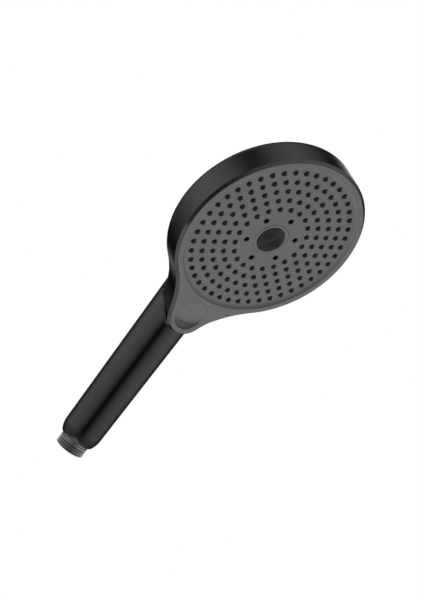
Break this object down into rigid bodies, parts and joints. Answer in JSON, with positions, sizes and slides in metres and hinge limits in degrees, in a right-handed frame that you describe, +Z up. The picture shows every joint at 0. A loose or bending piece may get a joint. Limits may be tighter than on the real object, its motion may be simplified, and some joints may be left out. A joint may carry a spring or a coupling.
{
  "type": "handheld shower head",
  "caption": "Handheld shower head with a round spray face, raised nozzles, a dished thumb button at the neck and a tapered handle ending in a hose thread.",
  "frame": {"origin": "centre of the hose thread's open end", "axes": "+Z up the handle axis towards the head; the spray face looks towards -Y and 15.4 degrees down; the head's symmetry plane is X = 0"},
  "size_m": [0.13, 0.0692, 0.2639],
  "materials": {
    "casing": "satin black plating over moulded plastic",
    "face": "matte graphite",
    "silicone": "soft matte silicone",
    "trim": "satin dark grey",
    "module": "moulded natural plastic",
    "valve": "moulded pale plastic",
    "connector": "satin grey",
    "steel": "stainless",
    "seal": "matte"
  },
  "bodies": {
    "head": {"body_shell": "casing", "face_plate": "face", "nozzle_mat": "silicone", "jet_inserts": "trim", "centre_ring": "face", "centre_insert": "trim", "spray_plate": "module", "manifold": "module", "module_screws": "steel", "port_duct": "module", "cartridge": "module", "cartridge_cap": "module", "port_disc": "valve", "stem_seal": "seal", "button_spring": "steel", "water_tube": "module", "tube_seal_low": "seal", "tube_seal_top": "seal", "hose_connector": "connector", "connector_seal": "seal", "inlet_strainer": "steel", "flow_regulator": "valve", "flow_ring": "seal", "check_valve": "valve", "check_spring": "steel"},
    "button": {"mode_button": "face"},
    "rotor": {"selector_rotor": "valve"},
    "turbine": {"massage_turbine": "valve"},
    "poppet": {"check_poppet": "trim"}
  },
  "joints": [
    {"name": "button_press", "type": "slide", "parent": "head", "child": "button", "axis": [0, 0.9641, 0.2656], "range_m": [0, 0.0015], "stiffness_N_per_m": 1500, "springref_m": -0.0015, "deforming": ["button_spring"]},
    {"name": "selector_turn", "type": "hinge", "parent": "head", "child": "rotor", "pos_m": [0, -0.00026, 0.12916], "axis": [0, -0.9641, -0.2656], "continuous": true},
    {"name": "turbine_spin", "type": "hinge", "parent": "head", "child": "turbine", "pos_m": [0, -0.02481, 0.19947], "axis": [0, -0.9641, -0.2656], "continuous": true},
    {"name": "poppet_lift", "type": "slide", "parent": "head", "child": "poppet", "axis": [0, 0, 1], "range_m": [0, 0.002], "stiffness_N_per_m": 60, "springref_m": -0.003, "deforming": ["check_spring"]}
  ]
}
